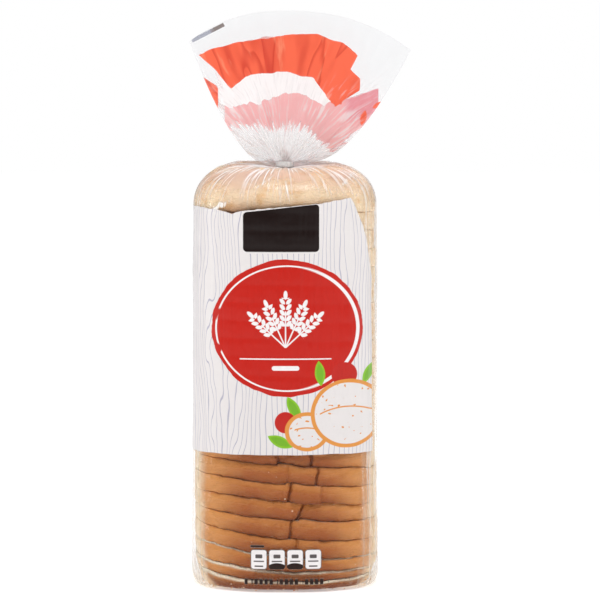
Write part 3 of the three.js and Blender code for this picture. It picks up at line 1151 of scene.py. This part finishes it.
def print_on_back(x, z, colours, paint):
    """A frame with plain rules on the back of the white band."""
    panel = box_shape(x, z, *BACK_FRAME, 2)
    start, apart = BACK_RULES
    from_rule = abs(part_after_point((z - start) / apart) - 0.5) * apart
    rules = filled(from_rule - 0.25) * filled(panel + 4)
    lines = greater(stroke(panel, 0.7), rules * 0.7)
    return layered(paint, (colours.paper, filled(panel)), (colours.dark_ink, lines * 0.8))


def print_on_window(x, z, colours):
    """Four bare tabs and a line of plain bars on the clear film: colour and opacity."""
    place = (x - TAB_FIRST) / TAB_PITCH + 0.5
    which = whole_part(place)
    across = (part_after_point(place) - 0.5) * TAB_PITCH
    tab = box_shape(across, z, (0, TAB_MIDDLE), TAB_HALF, 1.9)
    middle_two = abs(which - 1.5) < 1
    big_bar, thin_bar, low_bar = [
        box_shape(across, z, (0, TAB_MIDDLE + above), half, corner)
        for above, half, corner in TAB_MARKS
    ]
    dark_foot = filled(oval_shape(across, z, (0, TAB_MIDDLE + TAB_FOOT[0]), TAB_FOOT[1]))
    tabs = filled(tab) * ((which > -0.5) * (which < 3.5))
    spaced = (part_after_point(x / 3.3) < 0.66) * (part_after_point(x / 16.7 + 0.3) < 0.86)
    bars = filled(box_shape(x, z, *LINE_OF_BARS, 0.6)) * spaced
    bars = greater(bars, filled(box_shape(x, z, *HEADING, 0.4))) * (1 - tabs)
    paint = layered(
        colours.ring,
        (colours.dark_ink, dark_foot * middle_two),
        (colours.dark_ink, filled(lesser(big_bar, thin_bar)) * 0.9),
        (colours.dark_ink, filled(low_bar) * (1 - middle_two)),
        (colours.dark_ink, stroke(tab + 0.15, 0.36)),
        (colours.dark_ink, bars),
    )
    return paint, greater(tabs, bars)


def film_shader(tree, paint, opacity, height, bump, clear_tint, through):
    """Clear film that reflects more at a glance, under ink or haze of the given opacity.

    The bump is the relief's strength and depth. The ink lets the share through of the light pass
    from behind.
    """
    normal = relief(height, *bump)
    facing = add(tree, "ShaderNodeLayerWeight", Blend=0.5, Normal=normal)
    glance = Reading(tree, facing.outputs["Facing"]) ** 5
    clear = add(tree, "ShaderNodeBsdfTransparent", Color=clear_tint)
    gloss = add(tree, "ShaderNodeBsdfGlossy", Color=PURE_WHITE, Roughness=0.09, Normal=normal)
    ink = add(
        tree,
        "ShaderNodeBsdfPrincipled",
        Base_Color=paint,
        Normal=normal,
        Roughness=0.3,
        Specular_IOR_Level=0.18,
    )
    backlit = add(tree, "ShaderNodeBsdfTranslucent", Color=paint, Normal=normal)
    bare = mixed(tree, glance * GLOSS_AT_GLANCE + GLOSS_STRAIGHT_ON, clear, gloss)
    layer = mixed(tree, through, ink, backlit)
    add(tree, "ShaderNodeOutputMaterial", Surface=mixed(tree, opacity, bare, layer))


def fold_streaks(fold, around, along, seed, detail=2):
    """Streaks that follow the film's folds, as noise drawn out along them."""
    round_x, round_y, path = fold
    return noise((round_x * around, round_y * around, path * along + seed), detail=detail)


def rays_from_neck(x, y, z):
    """The direction seen from the neck, in radians and a little uneven, and the distance."""
    across = x - NECK_PLACE[0]
    up = z - NECK_PLACE[1]
    uneven = (noise((x, y, z), 0.03, 1) - 0.5) * 0.12
    direction = calc(x.tree, "ARCTAN2", up, across) + uneven + (y > 0) * 9
    return direction, (across * across + up * up) ** 0.5


def crumple(x, y, z, size):
    """Sharp, crossing creases like those of crushed film, as a height from 0 to 1."""
    sway = noise((x, y, z), 0.6 / size) * 0.9
    place = joined(x + sway * size, y, z + sway * size)
    cells = add(x.tree, "ShaderNodeTexVoronoi", Vector=place, Scale=1 / size)
    return Reading(x.tree, cells.outputs["Distance"])


def body_film_material(colours):
    """The filled bag's film: the clear window and shoulder, the printed band, and painted glints and
    highlights.
    """
    material, tree, (x, y, z) = new_material("printed film")
    wrap = tree.nodes.new("ShaderNodeUVMap")
    wrap.uv_map = "wrap"
    arc = parted(tree, wrap)[0] / MM
    fold = parted(tree, stored(tree, "fold", "Vector"))
    front = y < 0

    ragged = (noise((arc, z, 0), 0.16) - 0.5) * 1.8
    top = curve(x, TOP_EDGE, -100, 300) + ragged
    low_edge = PRINT_BOTTOM + (noise((arc, 0, 2), 0.05, 1) - 0.5) * 1.6
    over_bottom = filled(low_edge - z)
    band = filled(-top + z) * over_bottom
    on_front = filled(arc - curve(z, RIGHT_EDGE, 0, 300)) * filled(PRINT_LEFT - arc)
    back_panel = filled(BACK_PANEL - abs(arc)) * filled(z - BACK_TOP)
    white = clamped(band * on_front + over_bottom * back_panel)

    paint = cover(colours.paper, colours.grain, wood_grain(arc, z))
    front_paint = print_on_front(x, z, colours, paint)
    paint = cover(print_on_back(x, z, colours, paint), front_paint, front)
    window_paint, window_ink = print_on_window(x, z, colours)
    window_ink = window_ink * front * (z < PRINT_BOTTOM - 20)

    upright = fold_streaks(fold, 20, 9, 0, 3)
    radial = fold_streaks(fold, 16, 14, 3, 4)
    hair = fold_streaks(fold, 34, 22, 6, 3)
    sides = ramp(abs(x + 1), 48.5, 57)
    corner = fade(z, 4, 26) * ramp(abs(x), 38, 56)
    shoulder = ramp(z, 248, 276)
    neck = fade((x * x + y * y) ** 0.5, 12, 42) * (z > 200)
    patches = ramp(noise((x, y, z), 0.035), 0.35, 0.7)
    # painted highlight: white upright streaks in the film at the sides, also a little denser haze
    side_streak_glints = ramp(upright, 0.46, 0.66) * between(0.45, 1, ramp(abs(y), 8, 34))
    # painted glints on the shoulder, also a little denser haze
    glints = greater(ramp(radial, 0.54, 0.62) * 0.7, ramp(hair, 0.57, 0.63))
    # painted glints: broad white sheens on the front of the shoulder
    painted_sheen = x * 0
    for middle, half, lean in PAINTED_SHEENS:
        along, up = turned(x, z + (radial - 0.5) * 6, middle, lean)
        painted_sheen = greater(painted_sheen, filled(oval_shape(along, up, (0, 0), half), 0.5))
    painted_sheen = painted_sheen * front * ramp(hair, 0.38, 0.56)
    haze = sides * (0.14 + side_streak_glints * 0.38) + corner * ramp(radial, 0.4, 0.7) * 0.5
    haze = haze + shoulder * (0.13 + patches * 0.44 + glints * between(0.25, 0.7, patches))
    haze = haze + neck * (0.42 + ramp(radial, 0.42, 0.6) * 0.45)
    opacity = greater(greater(white, window_ink), clamped(greater(haze, painted_sheen * 0.8)))
    # painted highlight: white on the glints, the side streaks and the sheens, and whiter film round
    # the neck, partly haze and partly painted light
    painted_highlight = clamped(glints * shoulder + side_streak_glints * sides + painted_sheen + neck * 0.75)
    paint = layered(
        SIDE_VEIL,
        (SHOULDER_VEIL, shoulder),
        (WHITE, painted_highlight),
        (paint, white),
        (window_paint, window_ink),
    )

    crinkle = fold_streaks(fold, 22, 60, 7, 3)
    soft = noise((x, y, z), 0.06)
    loose = greater(greater(sides * 0.5, corner * 0.8), shoulder)
    height = (crinkle * 0.8 + crumple(x, y, z, 9) * 0.8) * between(0.06, 1, loose)
    wrinkle = fold_streaks(fold, 8, 14, 21)
    height = height + soft * 1.4 + upright * sides * 0.5 + wrinkle * 3
    film_shader(tree, paint, opacity, height, (0.6, 0.8 * MM), CLEAR_BODY, 0)
    return material


def tail_film_material(bag, colours):
    """The tail's film: clear at the mouth, two bands of colour, white with folds below, and painted
    fold shade and glints.
    """
    material, tree, (x, y, z) = new_material("tail film")
    fold = parted(tree, stored(tree, "fold", "Vector"))
    neck_top = bag.neck_top / MM
    near = fade(z, neck_top + 4, neck_top + 34)
    low = fade(z, neck_top + 18, neck_top + 62)
    front = y < 0

    direction, distance = rays_from_neck(x, y, z)

    def rays(around, along, seed, detail):
        return noise((direction * around, distance * along, seed), detail=detail)

    broad = rays(4.5, 0.015, 1, 2)
    fine = rays(13, 0.03, 5, 3)
    hair = rays(46, 0.06, 2, 3)
    level = z + ((fine - 0.5) * between(1.5, 38, low**3) + (broad - 0.5) * 5)
    under_band = curve(x, BAND_BOTTOM, -100, 400)
    over_pale = curve(x, PALE_TOP, -100, 400)
    orange = filled(level - curve(x, BAND_TOP, -100, 400)) * filled(under_band - level)
    sway = (broad - 0.5) * 4
    orange = orange * filled(x + sway - curve(z, BAND_RIGHT, 0, 400)) * filled(-57 - x)
    pale = filled(level - over_pale) * filled(curve(x, PALE_BOTTOM, -100, 400) - level)
    pale = pale * filled(x - 62) * filled(-40 - x)
    blank = filled(over_pale - level) * filled(level - under_band) * filled(x - 33)
    blank = blank * ramp(x + (fine - 0.5) * 14, -47, -41)
    patch = filled(box_shape(x, level + (x + 50) * 0.6, *BAND_PATCH, 2))
    for leaf in BAND_ENDS:
        patch = greater(patch, filled(leaf_shape(x, z + sway, *leaf)))
    vivid = greater(orange, patch)

    spots = ramp(noise((x, y, z), 0.075, 3), 0.38, 0.62)
    # white creases in the lower tail: partly the film's haze, partly painted glints
    crease_haze_and_glints = greater(ramp(fine, 0.56, 0.64), ramp(hair, 0.54, 0.62) * 0.8)
    crease_haze_and_glints = crease_haze_and_glints * between(0.25, 1, spots)
    fold_lines = rays(7, 0.02, 12, 1)
    painted_fold_shade = ramp(fold_lines, 0.50, 0.53) * fade(fold_lines, 0.53, 0.64)
    # painted shade and highlight: the orange darker in broad patches and along the folds, and lit
    # orange where the fine rays are high
    shade = layered(
        colours.orange,
        (colours.red, ramp(broad, 0.47, 0.66) * 0.42),
        (colours.red, painted_fold_shade * 0.5),
        (LIT_ORANGE, ramp(fine, 0.58, 0.72) * 0.5),
    )
    deeper = ramp(x + (fine - 0.5) * 10, 37, 44) * ramp(z, 304, 314)
    along, up = turned(x, z, MARK, MARK_LEAN)
    mark = filled(box_shape(along, up, (0, 0), MARK_HALF, 0.3)) * front
    paint = layered(
        cover(WHITE, FOLD_GREY, ramp(hair, 0.5, 0.7) * 0.5),
        (cover(colours.pink, DEEP_PINK, deeper), pale),
        (shade, vivid),
        (WHITE, crease_haze_and_glints * low * 0.85),
        (cover(MARK_LIGHT, colours.mark, ramp(along + (hair - 0.5) * 8, 1, 4)), mark),
    )

    ink = greater(vivid * 0.97, pale * 0.8)
    ink = greater(ink * between(0.6, 1, front), blank * 0.8)
    ink = greater(ink, mark * 0.9)
    from_mouth = fold_streaks(fold, 5, 2, 8, 1)
    haze = 0.05 + low * (0.09 + crease_haze_and_glints * 0.5) + near * 0.12 + ramp(from_mouth, 0.5, 0.8) * 0.03
    opacity = clamped(greater(ink * (1 - crease_haze_and_glints * low * 0.25), haze))
    crushed = crumple(x * 1.5, y, z * 0.7, 6) * 0.9 + crumple(x, y, z, 15) * 0.6
    height = fine * between(0.15, 1.2, low) + (hair * 0.7 + crushed) * low + broad * 1.2
    film_shader(tree, paint, opacity, height, (0.7, 0.9 * MM), CLEAR_TAIL, 0.2)
    return material


# The tie and the crumbs

CLING_FROM = 0.012  # height from which crumbs cling to the film
CRUMB_HEAP = (0.0009, 0.004)  # height of the lowest crumbs at the foot, and of the heap on them
CRUMB_INSET = (0.0011, 0.0025)  # from the outline in to a crumb, and how much more at the foot
STRIP_ROOM = 0.0006  # from the neck out to the strip, and from its start out to its end
STRIP_CLIMB = 0.0005  # how much higher the strip ends
WIRE_ROOM = 0.0008  # from the loop out to the twisted ends
WIRE_SWING = (0.0009, 0.0024)  # how far the ends swing as they twist, and how much more at last


def tie_material():
    material, tree, (x, y, z) = new_material("tie paper")
    ribs = sine(z * 9) * 0.5 + noise((x, y, z), 2, 3)
    shade = ramp(noise((x, y, z), 0.5), 0.4, 0.7) * 0.6
    principled(
        tree,
        Base_Color=cover(seen(252, 252, 251), seen(236, 236, 236), shade),
        Normal=relief(ribs, 0.3, 0.15 * MM),
        Roughness=0.42,
    )
    return material


def crumb_material(loaf):
    material, tree, (x, y, z) = new_material("loose crumb")
    shade = ramp(noise((x, y, z), 0.8, 3), 0.42, 0.6)
    principled(
        tree,
        Base_Color=cover(loaf.crumb, loaf.crust_light_and_highlight, shade),
        Normal=relief(noise((x, y, z), 5), 0.5, 0.2 * MM),
        Roughness=0.85,
    )
    return material


def crumbs_tree(bag, crumbs, material):
    """Crumbs between the crust and the film: many at the foot, a few higher up."""
    named = labelled(crumbs, "amount", "smallest", "largest", "top", "foot_share")
    tree, sizes = nodes_tree("Crumbs", {**named, "Seed": 11})
    line = add(tree, "GeometryNodeMeshLine", Count=sizes["Amount"])

    def draw(low, high, offset):
        drawn = add(tree, "FunctionNodeRandomValue", Seed=sizes["Seed"] + offset)
        feed(tree, drawn.inputs[2], low)
        feed(tree, drawn.inputs[3], high)
        return Reading(tree, drawn.outputs[1])

    angle = draw(0, TURN, 1)
    c = cosine(angle)
    s = sine(angle)
    front = s < 0
    at_foot = draw(0, 1, 2) < sizes["Foot share"]
    clinging = draw(CLING_FROM, sizes["Top"], 3)
    z = between(clinging, CRUMB_HEAP[0] + CRUMB_HEAP[1] * draw(0, 1, 4) ** 2, at_foot)
    foot = bag.foot_height - z
    inset = end_inset(foot, bag.foot_height, bag.foot_inset, bag.rounding) + CRUMB_INSET[0]
    inset = inset + at_foot * draw(0, CRUMB_INSET[1], 5)
    power = between(bag.base_power, bag.crown_power, front)
    depth = between(bag.base_depth, bag.crown_depth, front) - inset
    reach = outline_reach(c, s, bag.half_width - inset, depth, power)
    place = joined(reach * c, reach * s, z)

    size = between(sizes["Smallest"], sizes["Largest"], draw(0, 1, 6) ** 2.5)
    spread = add(
        tree,
        "GeometryNodeInstanceOnPoints",
        Points=add(tree, "GeometryNodeSetPosition", Geometry=line, Position=place),
        Instance=add(tree, "GeometryNodeMeshIcoSphere", Radius=0.5, Subdivisions=1),
        Scale=joined(size, size * draw(0.6, 1, 7), size * draw(0.5, 0.9, 8)),
        Rotation=joined(draw(0, TURN, 9), draw(0, TURN, 10), 0),
    )
    closing_nodes(tree, spread, material)
    return tree


def tie_tree(bag, tie, material):
    """A flat strip wound round the neck, with its two ends twisted together behind."""
    strip = ("turns", "strip_height", "strip_thickness", "loop_height")
    named = labelled(tie, *strip, "end_length", "end_rise", "wire_width", "twists")
    radius = {"Loop radius": bag.neck_radius + STRIP_ROOM}
    tree, sizes = nodes_tree("Twist tie", {**radius, **named})

    def swept(path, width, height):
        profile = add(tree, "GeometryNodeCurvePrimitiveQuadrilateral", Width=width, Height=height)
        corner = lesser(width, height) * 0.4
        rounded = add(tree, "GeometryNodeFilletCurve", Curve=profile, Radius=corner)
        sweep = add(tree, "GeometryNodeCurveToMesh", Curve=path, Profile_Curve=rounded)
        sweep.inputs["Fill Caps"].default_value = True
        return sweep

    spiral = add(
        tree,
        "GeometryNodeCurveSpiral",
        Resolution=48,
        Rotations=sizes["Turns"],
        Start_Radius=sizes["Loop radius"],
        End_Radius=sizes["Loop radius"] + STRIP_ROOM,
        Height=STRIP_CLIMB,
    )
    upright = add(tree, "GeometryNodeSetCurveNormal", Curve=spiral)
    upright.mode = "Z_UP"
    up = joined(0, 0, sizes["Height of loop"])
    raised = add(tree, "GeometryNodeSetPosition", Geometry=upright, Offset=up)
    both = tree.nodes.new("GeometryNodeJoinGeometry")
    feed(tree, both.inputs[0], swept(raised, sizes["Strip thickness"], sizes["Strip height"]))

    share = Reading(tree, tree.nodes.new("GeometryNodeSplineParameter").outputs["Factor"])
    swing = WIRE_SWING[0] + WIRE_SWING[1] * ramp(share, 0.72, 1)
    for start in (0, math.pi):
        line = tree.nodes.new("GeometryNodeCurvePrimitiveLine")
        fine = add(tree, "GeometryNodeResampleCurve", Curve=line, Count=72)
        angle = share * sizes["Twists"] * TURN + start
        place = joined(
            swing * cosine(angle),
            sizes["Loop radius"] + WIRE_ROOM + share * sizes["End length"],
            sizes["Height of loop"] + sizes["End rise"] * share**0.6 + swing * sine(angle),
        )
        laid = add(tree, "GeometryNodeSetPosition", Geometry=fine, Position=place)
        wire = swept(laid, sizes["Wire width"], sizes["Wire width"] * 0.35)
        feed(tree, both.inputs[0], wire)
    closing_nodes(tree, both, material)
    return tree


# Operators

LIT_STRENGTH = 0.20  # of the white room's light on the loaf
FLOOR_GLOW = (0.46, 0.84)  # of the floor near the loaf, and far from it
FLOOR_GLOW_AT = (250, 1600)  # millimetres from the loaf's middle
LAMPS = (  # name, place, width, height, power
    ("key", (-1.2, -1.8, 2), 1.2, 1.2, 14.5),
    ("fill", (1.5, -1.9, 0.9), 1.8, 1.8, 5.5),
    ("left strip", (-1.3, 0.1, 0.3), 0.14, 1.8, 6),
    ("right strip", (1.3, 0.1, 0.3), 0.14, 1.8, 5),
    ("top", (0.1, -0.7, 2), 0.8, 0.8, 20),
    ("back", (0.3, 2.2, 1.2), 1.4, 1.2, 8),
)
LAMPS_AIM = (0, 0, 0.17)


class BREADBAG_OT_cut_slices(bpy.types.Operator):
    """Makes the slices: the ones in the clear window, and the ones behind the print"""

    bl_idname = "breadbag.cut_slices"
    bl_label = "Cut slices"

    def execute(self, context):
        bag = context.scene.bag_sizes
        loaf = context.scene.loaf_sizes
        tree = slices_tree(bag, loaf, crust_material(loaf))
        covered = loaf.slices - loaf.window_slices
        groups = (  # name, first slice, number of slices, points around, rows
            ("window_slices", 0, loaf.window_slices, 401, 23),
            ("covered_slices", loaf.window_slices, covered, 201, 15),
        )
        for name, first, amount, around, rows in groups:
            values = {
                "First slice": first,
                "Slice count": amount,
                "All slices": loaf.slices,
                "Points around": around,
                "Rows": rows,
            }
            piece = grow(name, tree, values)
            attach(piece, BODY)
            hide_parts("bag")
        return {"FINISHED"}


class BREADBAG_OT_scatter_crumbs(bpy.types.Operator):
    """Scatters loose crumbs between the loaf and the film"""

    bl_idname = "breadbag.scatter_crumbs"
    bl_label = "Scatter crumbs"

    def execute(self, context):
        scene = context.scene
        material = crumb_material(scene.loaf_sizes)
        tree = crumbs_tree(scene.bag_sizes, scene.crumb_sizes, material)
        piece = grow("loose_crumbs", tree, {})
        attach(piece, BODY)
        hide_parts("bag")
        return {"FINISHED"}


class BREADBAG_OT_wrap_film(bpy.types.Operator):
    """Wraps the printed film round the loaf, up through the neck to the open tail"""

    bl_idname = "breadbag.wrap_film"
    bl_label = "Wrap film"

    def execute(self, context):
        bag = context.scene.bag_sizes
        colours = context.scene.print_colours
        body = body_film_material(colours)
        tail = tail_film_material(bag, colours)
        piece = link_piece("bag_film", film_mesh(bag, context.scene.loaf_sizes, body, tail))
        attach(piece, BODY)
        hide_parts("bag")
        return {"FINISHED"}


class BREADBAG_OT_wind_tie(bpy.types.Operator):
    """Winds the tie round the neck and twists its ends"""

    bl_idname = "breadbag.wind_tie"
    bl_label = "Wind tie"

    def execute(self, context):
        tree = tie_tree(context.scene.bag_sizes, context.scene.tie_sizes, tie_material())
        piece = grow("paper_tie", tree, {})
        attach(piece, BODY)
        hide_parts("twist_tie")
        return {"FINISHED"}


class BREADBAG_OT_set_stage(bpy.types.Operator):
    """Sets the floor, the lights and the camera"""

    bl_idname = "breadbag.set_stage"
    bl_label = "Set stage"

    def execute(self, context):
        stage = context.scene.stage_sizes
        self.lay_floor(context, stage)
        self.hang_lights(context)
        self.place_camera(context, stage)
        return {"FINISHED"}

    def lay_floor(self, context, stage):
        bpy.ops.mesh.primitive_circle_add(vertices=96, radius=stage.floor_radius, fill_type="NGON")
        floor = context.active_object
        floor.name = "floor"
        material, tree, (x, y, z) = new_material("pale floor")
        from_loaf = (x * x + y * y) ** 0.5
        principled(
            tree,
            Base_Color=cover(stage.floor, seen(240, 240, 240), noise((x, y, z), 0.002, 3)),
            Roughness=0.7,
            Emission_Color=PURE_WHITE,
            Emission_Strength=between(*FLOOR_GLOW, ramp(from_loaf, *FLOOR_GLOW_AT)),
        )
        floor.data.materials.append(material)

    def hang_lights(self, context):
        world = bpy.data.worlds.new("white room")
        context.scene.world = world
        world.use_nodes = True
        tree = world.node_tree
        tree.nodes.clear()
        to_camera = tree.nodes.new("ShaderNodeLightPath").outputs["Is Camera Ray"]
        lit = add(tree, "ShaderNodeBackground", Color=PURE_WHITE, Strength=LIT_STRENGTH)
        shown = add(tree, "ShaderNodeBackground", Color=PURE_WHITE, Strength=1)
        add(tree, "ShaderNodeOutputWorld", Surface=mixed(tree, to_camera, lit, shown))
        for name, place, wide, high, power in LAMPS:
            lamp = bpy.data.lights.new(name, "AREA")
            lamp.shape = "RECTANGLE"
            lamp.size = wide
            lamp.size_y = high
            lamp.energy = power
            holder = bpy.data.objects.new(name, lamp)
            holder.location = place
            sight = Vector(LAMPS_AIM) - Vector(place)
            holder.rotation_euler = sight.to_track_quat("-Z", "Y").to_euler()
            context.scene.collection.objects.link(holder)

    def place_camera(self, context, stage):
        camera = bpy.data.cameras.new("camera")
        camera.sensor_width = 36
        camera.lens = camera.sensor_width * stage.distance / stage.view_width
        holder = bpy.data.objects.new("camera", camera)
        context.scene.collection.objects.link(holder)
        tilt = math.radians(stage.elevation)
        back = Vector((0, -math.cos(tilt), math.sin(tilt)))
        holder.location = Vector((stage.aim_x, 0, stage.aim_z)) + back * stage.distance
        holder.rotation_euler = (-back).to_track_quat("-Z", "Y").to_euler()
        context.scene.camera = holder
        context.scene.view_settings.view_transform = "Standard"
        context.scene.cycles.transparent_max_bounces = 24


class BREADBAG_PT_panel(bpy.types.Panel):
    """Lists the steps and the sizes in the 3D view's sidebar"""

    bl_idname = "BREADBAG_PT_panel"
    bl_label = "Bread Bag"
    bl_space_type = "VIEW_3D"
    bl_region_type = "UI"
    bl_category = "Bread Bag"

    def draw(self, context):
        for step in STEPS:
            self.layout.operator(step.bl_idname)
        for name, kind in GROUPS.items():
            for size in kind.__annotations__:
                self.layout.prop(getattr(context.scene, name), size)


GROUPS = {
    "bag_sizes": BagSizes,
    "loaf_sizes": LoafSizes,
    "crumb_sizes": CrumbSizes,
    "tie_sizes": TieSizes,
    "print_colours": PrintColours,
    "stage_sizes": StageSizes,
}
STEPS = (
    BREADBAG_OT_cut_slices,
    BREADBAG_OT_scatter_crumbs,
    BREADBAG_OT_wrap_film,
    BREADBAG_OT_wind_tie,
    BREADBAG_OT_set_stage,
)


def register():
    for group in (*GROUPS.values(), *STEPS, BREADBAG_PT_panel):
        bpy.utils.register_class(group)
    for name, group in GROUPS.items():
        setattr(bpy.types.Scene, name, PointerProperty(type=group))


def unregister():
    for name in GROUPS:
        delattr(bpy.types.Scene, name)
    for group in (BREADBAG_PT_panel, *STEPS, *GROUPS.values()):
        bpy.utils.unregister_class(group)


def main():
    register()
    bpy.ops.breadbag.cut_slices()
    bpy.ops.breadbag.scatter_crumbs()
    bpy.ops.breadbag.wrap_film()
    bpy.ops.breadbag.wind_tie()
    bpy.ops.breadbag.set_stage()


if __name__ == "__main__":
    main()
